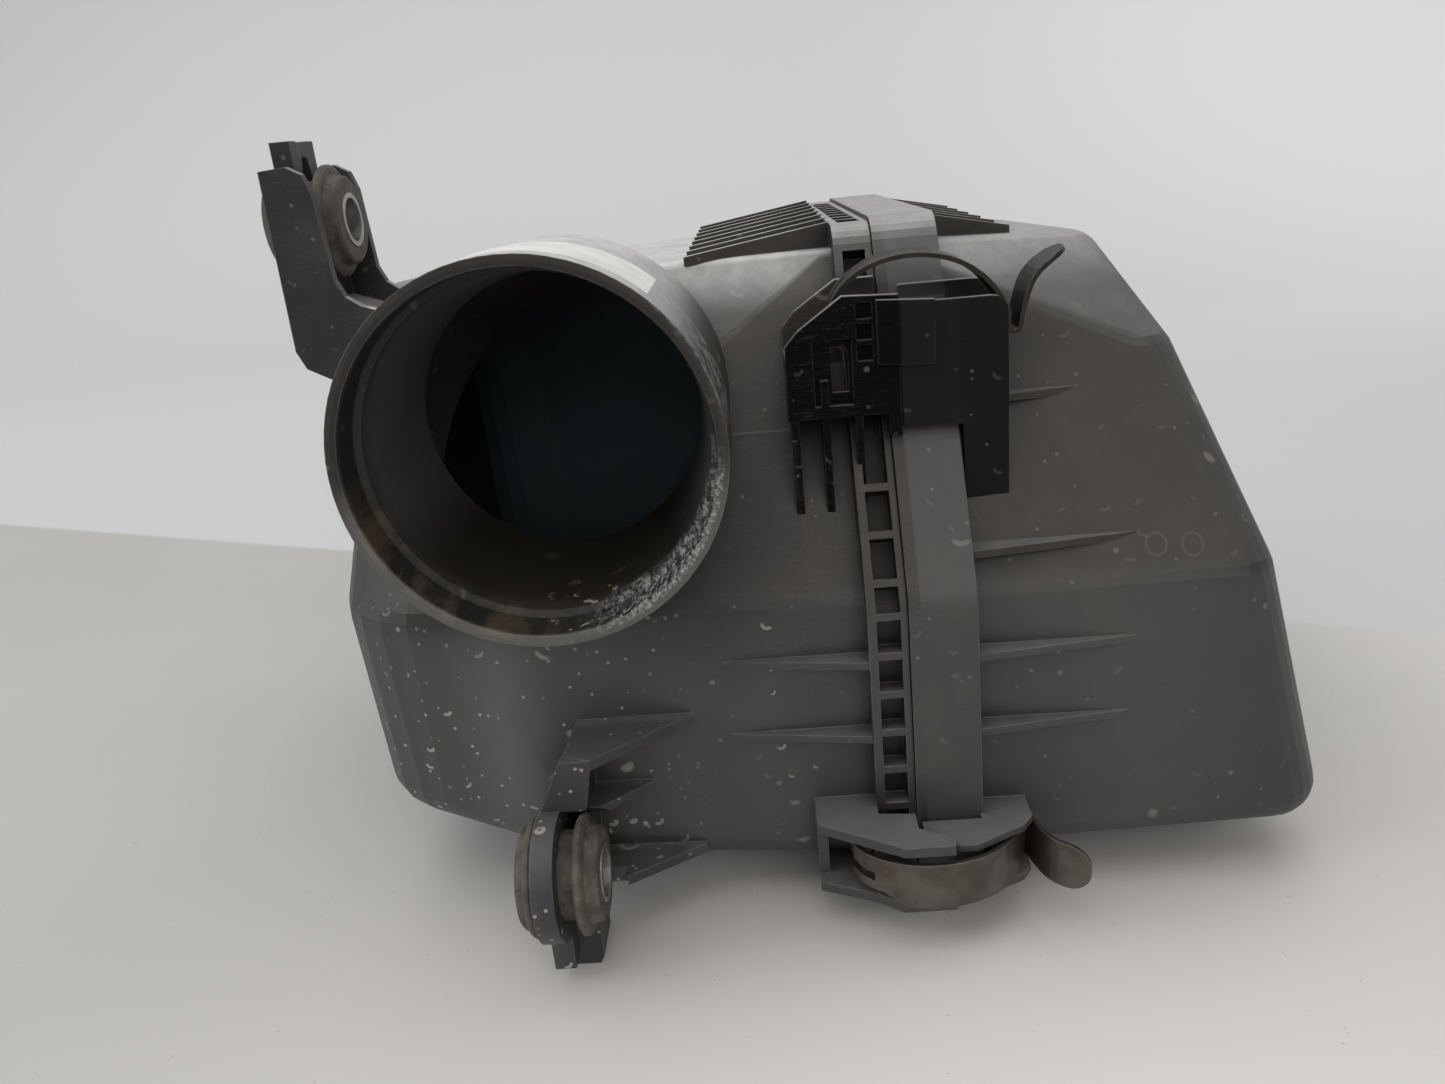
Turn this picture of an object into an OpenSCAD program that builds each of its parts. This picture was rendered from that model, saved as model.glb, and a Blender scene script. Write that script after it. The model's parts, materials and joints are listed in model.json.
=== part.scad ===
// Two-part air filter housing with spring clips, rubber mounts and a pleated panel filter.
// Millimetres. X crosses the joint from the case to the cover, Y runs into the intake spigot,
// Z is up. The origin is the centre of the intake spigot's mouth.

/* [Intake spigot] */
// Outer radius of the spigot
spigot_r = 40; // [36:0.5:42]
// Length of the spigot that a hose can slide onto
hose_l = 22; // [18:0.5:23]
// Radius of the throat at the inner end of the spigot
throat_r = 32.6; // [28:0.1:34]
// Length of the tapered bore, from the mouth to the throat
throat_y = 45; // [40:1:48]

/* [Flange outline] */
// Height of the flange's top edge
flange_top = 36; // [34:0.5:38]
// Height of the flange's bottom edge
flange_bottom = -118; // [-119:0.5:-116]
// Height of the crease between the front's lower and upper facets
crease_z = -44; // [-48:1:-40]
// Distance of the flange's front edge at the bottom
front_y = 12; // [11:0.5:13]
// Distance of the flange's front edge at the crease
crease_y = 16; // [15:0.5:18]
// Distance of the flange's front edge at the top
top_y = 63; // [60:1:66]
// Distance of the flange's rear edge
back_y = 205; // [200:1:215]
// How far the flange stands proud of the walls
flange_step = 7; // [6.5:0.5:8]

/* [Walls] */
// Thickness of the moulded walls
wall = 2.5; // [2:0.1:3]
// Thickness of the gusset ribs
rib = 1.8; // [1.2:0.1:2.2]
// Left-hand end of the case
case_end_x = -62.5; // [-66:0.5:-60]
// Parting plane between the case and the cover
joint_x = 75.5; // [74:0.5:77]
// Width of the case's comb flange
comb_w = 9; // [8:0.5:10]
// Width of the cover's skirt
skirt_w = 15.5; // [14:0.5:17]

/* [Spring clips] */
// Width of the clip strip
strip_w = 11.5; // [10:0.5:12]
// Thickness of the clip strip
strip_t = 1.1; // [0.8:0.1:1.2]
// Radius of the bar that a clip hooks on
bar_r = 1.4; // [1.2:0.1:1.5]

/* [Rubber mounts] */
// Radius of a grommet's waist
waist_r = 10; // [9:0.5:10.5]
// Radius of a grommet's flanges
disc_r = 13.5; // [12.5:0.5:14]
// Outer radius of a steel sleeve
sleeve_r = 6.5; // [6:0.1:7]
// Inner radius of a steel sleeve
sleeve_bore_r = 5.3; // [4.3:0.1:5.5]
// Length of a steel sleeve
sleeve_l = 18.8; // [18.4:0.1:20]

/* [Filter] */
// Distance between two pleats
pleat_pitch = 6; // [5:0.5:10]
// Depth of the pleats
pleat_depth = 34; // [25:1:38]

/* [Hidden] */

plastic = "#33322f";
spring_steel = "#4a443d";
rubber = "#5b564c";
steel = "#9a9d9c";

comb_x = joint_x - comb_w;
skirt_x = joint_x + skirt_w;
edge_r = 10;
pad_fn = 24;

// Outline of the flange in the Y-Z plane, clockwise from the front bottom corner.
flange_pts = [[front_y, flange_bottom], [crease_y, crease_z], [top_y, flange_top],
              [back_y, flange_top - 1.5], [back_y, flange_bottom]];
flange_radii = [10, 14, 10, 14, 14];

// Centres of the clips: [along X, outward distance] in each clip's own plane.
top_clip = [82.8, 19.5];
top_clip_y = 44.2;
side_clip_x = 79.5;
low_clip_z = -105.3;
rear_low_z = -88;
rear_high_z = 6;
clip_stand = 4;

// The clip's hinge bar and its catch, from the clip's centre.
bar_at = [-15.8, -7.5];
catch_u = 16.6;
catch_v = -5.2;

// Distances of a clip's guard plates from its middle, and their thickness.
guard_gap = 8.2;
low_gap = 6.4;
guard_t = 2.5;

// Ring centres of the three rubber mounts.
upper_mount = [-63.5, 77, 46];
lower_mount = [-8.4, 0, -97];
rear_mount = [-8.4, 218, -97];
ring_t = 5;
ring_r = 14.8;
grommet_shift = 2.4;
foot_z = -124;

// Step in the spigot behind the hose's end. The label lies in a recess and drapes over the step.
spigot_step = 0.6;
label_y = [6, 32];
label_t = 0.2;
label_r = spigot_r - label_t - 0.02;

// Outlet spigot on the back of the cover.
outlet_at = [124, -48];
outlet_r = 33;
outlet_y = 236;
outlet_step_y = 216.5;
screen_y = 195;
sensor_y = 208;
insert_x = 14.5;
insert_r = 2.6;

function unit(v) = v / norm(v);
function cross2(a, b) = a[0] * b[1] - a[1] * b[0];
function left_of(v) = [-v[1], v[0]];

// Vertex of an outline moved inwards by d on both of its edges (outline is clockwise).
function inset_at(p, i, d) =
    let (n = len(p), a = unit(p[i] - p[(i + n - 1) % n]), b = unit(p[(i + 1) % n] - p[i]))
    let (na = -left_of(a), nb = -left_of(b))
    p[i] + d * (na + nb) / (1 + na * nb);
function inset_path(p, d) = [for (i = [0 : len(p) - 1]) inset_at(p, i, d)];

// Outline with each corner rounded to its own radius, by arcs of steps + 1 points.
function round_at(p, i, r, steps) =
    let (n = len(p), a = unit(p[(i + n - 1) % n] - p[i]), b = unit(p[(i + 1) % n] - p[i]))
    let (half = acos(a * b) / 2, c = p[i] + unit(a + b) * r / sin(half))
    let (from = p[i] + a * r / tan(half) - c, to = p[i] + b * r / tan(half) - c)
    let (turn = atan2(cross2(from, to), from * to))
    [for (k = [0 : steps]) c + rotate2(from, turn * k / steps)];
function rotate2(v, t) = [v[0] * cos(t) - v[1] * sin(t), v[0] * sin(t) + v[1] * cos(t)];
function round_path(p, r, steps) =
    [for (i = [0 : len(p) - 1]) each round_at(p, i, r[i], steps)];

// Flange outline moved inwards by d.
function outline(d) =
    round_path(inset_path(flange_pts, d), [for (r = flange_radii) max(r - d, 3)], 5);

// Front face of the walls at a height.
function wall_y(z) =
    let (p = inset_path(flange_pts, flange_step))
    z < p[1][1]
        ? p[0][0] + (p[1][0] - p[0][0]) * (z - p[0][1]) / (p[1][1] - p[0][1])
        : p[1][0] + (p[2][0] - p[1][0]) * (z - p[1][1]) / (p[2][1] - p[1][1]);

// Point of a cubic curve.
function curve_at(c, t) =
    c[0] * pow(1 - t, 3) + 3 * c[1] * t * pow(1 - t, 2) + 3 * c[2] * t * t * (1 - t) + c[3] * pow(t, 3);
function curve(c, steps) = [for (k = [0 : steps]) curve_at(c, k / steps)];

// Solid of an outline in the Y-Z plane, from x0 to x1.
module slab(pts, x0, x1) {
    translate([x0, 0, 0])
        rotate([90, 0, 90])
            linear_extrude(x1 - x0)
                polygon(pts);
}

// Plate of an outline in the X-Y plane, from z0 to z1.
module shelf(pts, z0, z1) {
    translate([0, 0, z0])
        linear_extrude(z1 - z0)
            polygon(pts);
}

// Plate of an outline in the X-Z plane, from y0 to y1.
module upright(pts, y0, y1) {
    translate([0, y1, 0])
        rotate([90, 0, 0])
            linear_extrude(y1 - y0)
                polygon(pts);
}

// Ring of the flange between two insets.
module flange_ring(outer, inner, x0, x1) {
    difference() {
        slab(outline(outer), x0, x1);
        slab(outline(inner), x0 - 1, x1 + 1);
    }
}

// Rounded disc that blends a corner of a shell: plan radius r, edge radius e.
module pad(at, r, e) {
    translate(at)
        rotate_extrude($fn = pad_fn)
            translate([r - e, 0])
                intersection() {
                    circle(e, $fn = pad_fn);
                    translate([-min(r - e, e), -e])
                        square([min(r - e, e) + e, 2 * e]);
                }
}

// Outer skin of the case, or its cavity when d is the wall thickness.
module case_form(d) {
    roof = flange_top - flange_step - edge_r;
    hull() {
        slab(outline(flange_step + d), comb_x - 3, joint_x);
        pad([case_end_x + 20, 112, roof - 2], 20 - d, edge_r - d);
        pad([case_end_x + 20, back_y - 27, roof - 6], 20 - d, edge_r - d);
        for (y = [54, back_y - 37]) {
            pad([case_end_x + 30, y, crease_z - 2], 30 - d, edge_r - d);
            pad([case_end_x + 30, y, -91], 28 - d, edge_r - d);
            pad([-2, y - 8, flange_bottom + flange_step + edge_r], 25 - d, edge_r - d);
        }
    }
}

// Outer skin of the cover, or its cavity when d is the wall thickness.
module cover_form(d) {
    hull() {
        slab(outline(flange_step + d), joint_x, joint_x + 6);
        pad([125, 86, flange_top - flange_step - 11], 12 - d, 9 - d);
        pad([125, back_y - 34, flange_top - flange_step - 14], 12 - d, 9 - d);
        for (y = [60, back_y - 21]) {
            pad([134.5, y, -2], 12 - d, 9 - d);
            pad([150, y - 26, crease_z - 4], 12 - d, 9 - d);
            pad([162, y - 30, flange_bottom + flange_step + 9], 12 - d, 9 - d);
        }
    }
}

// Row of n pockets in the comb flange along straight edge i of the outline.
module comb_row(i, first, pitch, n) {
    a = flange_pts[i];
    b = flange_pts[i + 1];
    tilt = atan2(b[1] - a[1], b[0] - a[0]);
    for (k = [0 : n - 1])
        translate([comb_x + 2, a[0], a[1]])
            rotate([tilt, 0, 0])
                translate([0, first + k * pitch + rib / 2, -6])
                    cube([comb_w - 3.6, pitch - rib, 12]);
}

// Comb flange of the case with its pockets.
module comb_flange() {
    front = norm(flange_pts[1] - flange_pts[0]);
    difference() {
        flange_ring(1, flange_step + wall, comb_x, joint_x);
        comb_row(0, front - 59.7, 9.5, 6);
        comb_row(0, front - 2.7, 4.5, 1);
        comb_row(1, -2, 7.6, 1);
        comb_row(1, 5.6, 11, 2);
        comb_row(1, 27.6, 22, 1);
        comb_row(1, 49.6, 12.2, 3);
        comb_row(2, 6.5, 12, 9);
        comb_row(3, 14, 14, 8);
    }
}

// Intake spigot: a tube that tapers away where it has run into the roof of the case.
module spigot() {
    rotate([-90, 0, 0])
        rotate_extrude($fn = 96)
            polygon([[spigot_r, 0], [spigot_r, hose_l], [spigot_r - spigot_step, hose_l + 0.1],
                     [spigot_r - spigot_step, 56], [26, 86], [0, 86], [0, 0]]);
}

// Band on top of the spigot where the label lies, turned from a profile of [radius, distance].
module label_band(profile) {
    rotate([-90, 0, 0])
        rotate([0, 0, -110])
            rotate_extrude(angle = 62, $fn = 96)
                polygon(profile);
}

// Inner end of the spigot, standing free inside the case.
module spigot_sleeve() {
    rotate([-90, 0, 0])
        cylinder(r = throat_r + 3.9, h = throat_y + 1, $fn = 96);
}

// Bore of the spigot: lip, locating ridge and tapered throat, open to the case.
module spigot_bore() {
    inside = spigot_r - wall;
    rotate([-90, 0, 0])
        rotate_extrude($fn = 96)
            polygon([[0, -1], [spigot_r - 1.8, -1], [spigot_r - 2.6, 0.8], [spigot_r - 2.6, 9],
                     [spigot_r - 3.9, 10.4], [spigot_r - 4.3, 12.4], [throat_r, throat_y],
                     [throat_r, throat_y + 1.1], [inside, throat_y + 1.1], [inside, 55], [22.6, 87], [0, 87]]);
}

// Snap ring in the Y-Z plane with an opening in one direction.
module snap_ring(turn) {
    difference() {
        union() {
            rotate([0, 90, 0])
                cylinder(r = ring_r, h = ring_t, center = true, $fn = 72);
            rotate([turn, 0, 0])
                translate([0, 0, ring_r + 0.6])
                    cube([ring_t, 15, 8], center = true);
        }
        rotate([0, 90, 0])
            cylinder(r = waist_r + 0.1, h = ring_t + 2, center = true, $fn = 72);
        rotate([turn, 0, 0])
            translate([0, 0, ring_r])
                rotate([0, 90, 0])
                    linear_extrude(ring_t + 2, center = true)
                        polygon([[-8, -5.2], [-8, 5.2], [-1, 1.6], [9, 5], [9, -5], [-1, -1.6]]);
    }
}

// Side plates, web and floor of the upper mount, and its snap ring.
module upper_bracket() {
    m = upper_mount;
    side = [[-66.4, 17], [-66, 59], [-59.5, 59.5], [-56, 57.5], [-54.5, 53], [-53.3, 33], [-51.5, 29], [-48, 26.5],
            [-20, 17], [-20, -10], [-50, 5], [-60, 10], [-64.5, 12.5]];
    for (s = [-1, 1])
        upright(side, m[1] + s * 16.2 - wall / 2, m[1] + s * 16.2 + wall / 2);
    translate(m)
        snap_ring(0);
    difference() {
        translate([m[0] - ring_t / 2, m[1] - 16, 14])
            cube([ring_t, 32, m[2] - 14]);
        translate(m)
            rotate([0, 90, 0])
                cylinder(r = waist_r + 2, h = ring_t + 2, center = true, $fn = 72);
    }
    upright([[-64, 14], [-62, 27], [-49, 22.5], [-20, 13], [-20, 10], [-50, 19.5], [-58, 13]],
            m[1] - 16, m[1] + 16);
}

// Room for a grommet and its neighbours, cut out of the plates around it.
module grommet_room(m) {
    translate([m[0] + grommet_shift, m[1], m[2]])
        rotate([0, 90, 0])
            cylinder(r = disc_r + 1.2, h = sleeve_l + 6, center = true, $fn = 72);
}

// Web, gussets, snap ring and foot of the lower mount on the front wall.
module lower_bracket() {
    m = lower_mount;
    reach = 34;
    ring_x = m[0] - ring_t / 2;
    difference() {
        union() {
            shelf([[-3, 24], [-4, 6], [2.5, 3.5], [25, wall_y(-71)], [25, reach], [-3, reach]], -72.5, -70);
            upright([[-11, -84], [-4.5, -70], [2.8, -70.2], [-1, -88]], 3.4, 6);
            translate([-3, 6, -107])
                cube([wall, reach - 6, 37]);
            shelf([[ring_x, 13], [0, 9], [14, wall_y(-88)], [14, reach], [ring_x, reach]], -89, -86.8);
            shelf([[ring_x, 10], [2, 6], [25, wall_y(-105)], [25, reach], [ring_x, reach]], -107.5, -105);
            upright([[ring_x, -106], [ring_x, foot_z + 2], [ring_x + 1.5, foot_z], [-1.5, foot_z],
                     [-0.5, foot_z + 2], [0, -106]], 2, 14);
        }
        grommet_room(m);
    }
    difference() {
        translate([ring_x, 2, -116])
            cube([ring_t, reach - 8, 30]);
        translate(m)
            rotate([0, 90, 0])
                cylinder(r = waist_r + 2, h = 3 * ring_t, center = true, $fn = 72);
    }
    translate([ring_x, -4, foot_z + 4])
        cube([ring_t, 12, 8.5]);
    translate(m)
        snap_ring(-128);
}

// The strip's centre line, from the hooked end over the bow and the fold to the lever.
hook_r = bar_r + 0.3 + strip_t / 2;
hook_line = [for (k = [0 : 10]) bar_at + hook_r * [cos(20 - k * 20), sin(20 - k * 20)]];
bow_line = curve([[-19.4, -2.5], [-18.2, 11.6], [12.2, 16], [20, -4.4]], 18);
fold_line = [for (k = [0 : 6]) [21.3, -7.6] + 1.5 * [cos(180 + k * 26), sin(180 + k * 26)]];
lever_line = curve([[23.1, -5.6], [24.8, 1.6], [24.8, 3.6], [33, 7.9]], 8);
strip_line = concat(hook_line, bow_line, fold_line, lever_line);

// Point i of a bent line moved to its left by d, and the outline of a strip of thickness t along the line.
function beside(line, i, d) =
    let (a = line[max(i - 1, 0)], b = line[min(i + 1, len(line) - 1)])
    line[i] + d * left_of(unit(b - a));
function strip_outline(line, t) =
    concat([for (i = [0 : len(line) - 1]) beside(line, i, t / 2)],
           [for (i = [len(line) - 1 : -1 : 0]) beside(line, i, -t / 2)]);

// Spring clip in its own plane: X across the joint, Y outward, Z along its width.
module clip() {
    half = strip_w / 2;
    lever_turn = 28;
    tip = [33.2, 8];
    difference() {
        linear_extrude(strip_w, center = true)
            polygon(strip_outline(strip_line, strip_t));
        // Slot that the hinge bar shows through, and the narrow neck beside it.
        translate([-18.4, -3.4, 0.4])
            cube([4, 5, 4.4], center = true);
        translate([-16.6, 1.6, 0.4])
            cube([6.2, 8, 2.4], center = true);
        rotate([90, 0, 0])
            linear_extrude(60, center = true)
                polygon([[-30, -half - 1], [-30, 2.8 - half], [-13.4, 2.8 - half], [-8.6, -half], [-8.6, -half - 1]]);
        translate([tip[0], tip[1], 0])
            rotate([0, 0, lever_turn])
                difference() {
                    translate([-half, -4, -strip_w])
                        cube([strip_w, 8, 2 * strip_w]);
                    translate([-half, 0, 0])
                        rotate([90, 0, 0])
                            cylinder(r = half, h = 20, center = true, $fn = 64);
                }
    }
}

// Hinge bar between the two guard plates of the case.
module hinge_bar(half) {
    translate([bar_at[0], bar_at[1], -half])
        cylinder(r = bar_r, h = 2 * half, $fn = 32);
}

// Guard plates and hinge bar of a side clip, on the case.
module side_keeper() {
    inner = low_gap;
    shelf([[-27.5, -18], [-27.5, -1.5], [-8.5, 10], [2.5, 10], [3.2, 7], [-4.6, 2.6], [-4.6, -3.2], [-13, -4.2],
           [-13, -18]], guard_gap, guard_gap + guard_t);
    shelf([[-27.5, -18], [-27.5, -2.8], [-14.4, 3], [-9, 7], [3.2, 7], [-4.6, 2.6], [-4.6, -3.2], [-13, -4.2],
           [-13, -18]], -inner - guard_t, -inner);
    translate([0, 0, (guard_gap - inner) / 2])
        hinge_bar((guard_gap + inner) / 2 + 1);
    shelf([[-27.5, -18], [-27.5, -6], [-25, -6], [-25, -18]], -inner - 1, guard_gap + 1);
}

// Guard plates and catch of a side clip, on the cover.
module side_catch() {
    start = skirt_w - 4.6;
    shelf([[start, -18], [start, -3.6], [-3, -3.6], [-3, 2], [4, 6.4], [8, 6.4], [20, 0], [22.5, -3.5],
           [22.5, -18]], guard_gap - 1.9, guard_gap - 0.1);
    shelf([[start, -18], [start, -3.6], [4.4, -3.6], [4.4, 5], [8, 5], [20, -1], [22.5, -4.5], [22.5, -18]],
          -guard_gap + 0.1, -guard_gap + 1.9);
    shelf([[catch_u - 4.4, -18], [catch_u - 3, catch_v], [catch_u - 0.6, catch_v], [catch_u, catch_v - 1],
           [catch_u, -18]], -guard_gap + 0.6, guard_gap - 0.6);
}

// Places a side clip's parts on the front or the rear of the joint.
module at_front_bottom() {
    translate([side_clip_x, front_y - clip_stand, low_clip_z])
        mirror([0, 1, 0])
            children();
}

module at_rear(z) {
    translate([side_clip_x, back_y + clip_stand, z])
        children();
}

module at_front_top() {
    translate([top_clip[0], top_clip_y, top_clip[1]])
        rotate([90, 0, 0])
            children();
}

// Guard plates, pocket and hinge bar of the top clip, on the case.
module top_keeper() {
    half = guard_gap;
    front = [[-30.3, -24], [-30, -7.5], [-27, -4.2], [-17, 2.6], [-4.8, 2], [-4.8, -29.4], [-7.6, -29],
             [-7.6, -24]];
    rear = [[-30.3, -24], [-30, -6], [-27, -2.6], [-17, 4], [-8, 4], [-8, -24]];
    difference() {
        union() {
            shelf(front, half, half + guard_t);
            shelf([[-9.8, -12.6], [-9.8, 1.4], [2.8, 0.6], [2.6, -13.4]], half + guard_t - 0.4,
                  half + guard_t + 1.7);
        }
        shelf([[-24, -21.4], [-24, -6.6], [-15.4, -6.6], [-15.4, -21.4]], half + 1, half + 9);
        shelf([[-20, -18.6], [-20, -8.4], [-17.6, -8.4], [-16.2, -6], [-16.2, -18.6]], half - 1, half + 9);
        for (k = [0 : 2])
            shelf([[-14.2, -11.8 + 4.6 * k], [-14.2, -8.2 + 4.6 * k], [-10.6, -8.2 + 4.6 * k],
                   [-10.6, -11.8 + 4.6 * k]], half + 1.2, half + 9);
    }
    shelf(rear, -half - guard_t, -half);
    hinge_bar(half + 1);
    shelf([[-30.3, -24], [-30, -11], [-27.6, -11], [-27.6, -21.6], [-8, -21.6], [-8, -24]], -half - 1,
          half + 1);
}

// Guard plates and catch of the top clip, on the cover.
module top_catch() {
    half = guard_gap;
    front = round_path([[-4.5, -27.8], [-4.5, 0], [19, 0], [19, -46], [9, -46], [9, -27.8]],
                       [0.5, 0.5, 3.5, 0.5, 0.5, 0.5], 4);
    rear = round_path([[-2.6, -24], [-2.6, 1.6], [19, 1.6], [19, -24]], [0.5, 0.5, 3.5, 0.5], 4);
    shelf(front, half, half + 2);
    shelf(rear, -half - 2, -half);
    shelf([[catch_u - 4.4, -28], [catch_u - 3, catch_v], [catch_u - 0.6, catch_v],
           [catch_u, catch_v - 1], [catch_u, -28]], -half - 1, half + 1);
}

// Ribs that carry the top clip's plates back to the leaning wall.
module top_clip_webs(xs, z_low, z_high, y_front) {
    for (x = xs)
        translate([x - rib / 2, 0, 0])
            rotate([90, 0, 90])
                linear_extrude(rib)
                    polygon([[y_front, z_high], [y_front, z_low + 16], [wall_y(z_low), z_low],
                             [wall_y(z_low) + 3, z_low], [wall_y(z_high) + 3, z_high]]);
}

// Tapered rib on the front walls: from the flange at x0 to nothing at x1.
module front_rib(x0, x1, z, depth) {
    y = wall_y(z);
    shelf([[x0, y + 1.5], [x0, y - depth], [x1, y + 0.2], [x1, y + 1.5]], z - rib / 2, z + rib / 2);
}

// Row of gusset ribs on top of a shell.
module top_ribs(x0, x1, h0, h1, ys) {
    z = flange_top - flange_step - 1.5;
    for (y = ys)
        upright([[x0, z], [x0, z + 1.5 + h0], [x1, z + 1.5 + h1], [x1, z]], y - rib / 2, y + rib / 2);
}

// Grommet on an axis along X: short flange, groove, long flange with a raised nose.
module grommet(m) {
    half = 9.1;
    translate([m[0] + grommet_shift, m[1], m[2]])
        rotate([0, 90, 0])
            rotate_extrude($fn = 72)
                polygon([[sleeve_r + 0.05, -half], [11, -half], [11.6, -half + 0.6], [12, -half + 1.8],
                         [disc_r - 0.4, -half + 2.2], [disc_r, -half + 2.8], [disc_r, -half + 3.4],
                         [disc_r - 0.6, -half + 4.2], [waist_r, -half + 4.2], [waist_r, 3.8],
                         [disc_r - 0.8, 3.8], [disc_r, 4.5], [disc_r, 5.4], [disc_r - 0.8, 6],
                         [11.2, 6.3], [10.8, 7], [10.6, half - 0.5], [10, half], [sleeve_r + 0.05, half]]);
}

module sleeve(m) {
    translate([m[0] + grommet_shift, m[1], m[2]])
        rotate([0, 90, 0])
            difference() {
                cylinder(r = sleeve_r, h = sleeve_l, center = true, $fn = 64);
                cylinder(r = sleeve_bore_r, h = sleeve_l + 2, center = true, $fn = 64);
            }
}

// Keepers of the two clips on the rear of the joint.
module rear_keepers() {
    for (z = [rear_low_z, rear_high_z])
        at_rear(z)
            side_keeper();
}

// Everything moulded on the outside of the case's walls.
module case_outside() {
    case_form(0);
    comb_flange();
    upper_bracket();
    lower_bracket();
    translate([0, rear_mount[1] + lower_mount[1], 0])
        mirror([0, 1, 0])
            lower_bracket();
    at_front_bottom()
        side_keeper();
    rear_keepers();
    at_front_top()
        top_keeper();
    top_clip_webs([54, 61, 68.4], -27, 4, top_clip_y - guard_gap - guard_t);
    for (z = [-58.5, -77])
        front_rib(comb_x, 33, z, 5.6);
    top_ribs(30, comb_x + 0.5, 0.6, 6, [for (k = [0 : 7]) 76 + 15.5 * k]);
}

// Lower shell with the intake spigot, comb flange, mount brackets and clip keepers.
module case() {
    color(plastic)
        difference() {
            union() {
                difference() {
                    union() {
                        case_outside();
                        spigot();
                    }
                    label_band([[label_r - 0.03, label_y[0] - 0.2], [spigot_r + 1, label_y[0] - 0.2],
                                [spigot_r + 1, hose_l + 1], [label_r - 0.03, hose_l + 1]]);
                    case_form(wall);
                    slab(outline(flange_step + wall), comb_x - 1, joint_x + 1);
                }
                spigot_sleeve();
                flange_ring(flange_step + wall - 0.4, flange_step + wall + 6, comb_x - 4, comb_x - 1.5);
            }
            spigot_bore();
        }
}

// Outlet spigot with a chamfered hose end, a shoulder, and a flat boss for the air flow sensor.
module outlet_body() {
    translate([outlet_at[0], 0, outlet_at[1]])
        rotate([-90, 0, 0])
            rotate_extrude($fn = 96)
                polygon([[0, back_y - 60], [outlet_r + 0.5, back_y - 60], [outlet_r + 0.5, outlet_step_y],
                         [outlet_r, outlet_step_y], [outlet_r, outlet_y - 0.7], [outlet_r - 0.7, outlet_y],
                         [0, outlet_y]]);
    translate([outlet_at[0] - 19, sensor_y - 8, outlet_at[1] + outlet_r - 9])
        cube([38, 16, 12.5]);
}

// Bore of the outlet, the sensor's opening and the holes for its two inserts.
module outlet_bore() {
    top = outlet_at[1] + outlet_r + 3.5;
    translate([outlet_at[0], back_y - 60, outlet_at[1]])
        rotate([-90, 0, 0])
            cylinder(r = outlet_r - wall, h = 110, $fn = 96);
    translate([outlet_at[0], sensor_y, top - 16])
        cylinder(r = 7, h = 20, $fn = 64);
    for (s = [-1, 1])
        translate([outlet_at[0] + insert_x * s, sensor_y, top - 6.2])
            cylinder(r = insert_r + 0.05, h = 8, $fn = 48);
}

// Cover with its skirt, clip catches, ribs and outlet spigot.
module cover() {
    color(plastic)
        difference() {
            union() {
                cover_form(0);
                flange_ring(0, flange_step + wall, joint_x + 0.2, joint_x + 3);
                flange_ring(0, wall, joint_x + 0.2, skirt_x);
                at_front_bottom()
                    side_catch();
                at_rear(rear_low_z)
                    side_catch();
                at_rear(rear_high_z)
                    side_catch();
                at_front_top()
                    top_catch();
                for (z = [-36, -58.5, -77])
                    front_rib(skirt_x - 3, 136, z, 6);
                front_rib(skirt_x - 3, 129, -5.4, 6.4);
                top_ribs(skirt_x - 3, 113, 6, 0.6, [for (k = [0 : 5]) 84 + 18 * k]);
                outlet_body();
                for (y = [66, 160])
                    translate([joint_x + 4, y, foot_z])
                        cube([9, 10, flange_bottom - foot_z + 2]);
            }
            cover_form(wall);
            translate([0, 0, -200])
                cube([joint_x + 0.2, 400, 400]);
            slab(outline(flange_step + wall), joint_x - 1, joint_x + 5);
            outlet_bore();
        }
}

module clip_front_top() {
    color(spring_steel)
        at_front_top()
            clip();
}

module clip_front_bottom() {
    color(spring_steel)
        at_front_bottom()
            clip();
}

module clip_rear_top() {
    color(spring_steel)
        at_rear(rear_high_z)
            clip();
}

module clip_rear_bottom() {
    color(spring_steel)
        at_rear(rear_low_z)
            clip();
}

module grommet_upper() {
    color(rubber)
        grommet(upper_mount);
}

module grommet_lower() {
    color(rubber)
        grommet(lower_mount);
}

module grommet_rear() {
    color(rubber)
        grommet(rear_mount);
}

module sleeve_upper() {
    color(steel)
        sleeve(upper_mount);
}

module sleeve_lower() {
    color(steel)
        sleeve(lower_mount);
}

module sleeve_rear() {
    color(steel)
        sleeve(rear_mount);
}

// Polyurethane frame of the filter, clamped between the two shells.
module filter_frame() {
    color("#2b5fa8")
        union() {
            flange_ring(flange_step + wall + 0.6, flange_step + wall + 12, comb_x - 1.4, comb_x + 5);
            flange_ring(flange_step + wall + 4, flange_step + wall + 12, comb_x + 4, joint_x + 8);
        }
}

// Pleated filter paper: straight flanks joined by round folds.
module filter_pleats() {
    low = flange_bottom + 23;
    folds = 2 * floor((flange_top - 23 - low) / pleat_pitch);
    r = pleat_pitch / 4;
    ends = [comb_x + r, comb_x + pleat_depth - r];
    line = [for (k = [0 : folds - 1], j = [0 : 4])
                let (t = -90 + 45 * j)
                [ends[k % 2] + (k % 2 == 0 ? -1 : 1) * r * cos(t), low + k * 2 * r + r + r * sin(t)]];
    color("#d9cfae")
        intersection() {
            upright(strip_outline(line, 0.9), 20, 220);
            slab(outline(flange_step + wall + 12.2), comb_x - 5, 200);
        }
}

// Lines of hot glue that keep the pleats apart.
module filter_beads() {
    color("#e8e2cf")
        for (y = [85, 115, 145])
            translate([comb_x + pleat_depth + 0.5, y, -88])
                cube([1.2, 2.4, 92]);
}

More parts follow.
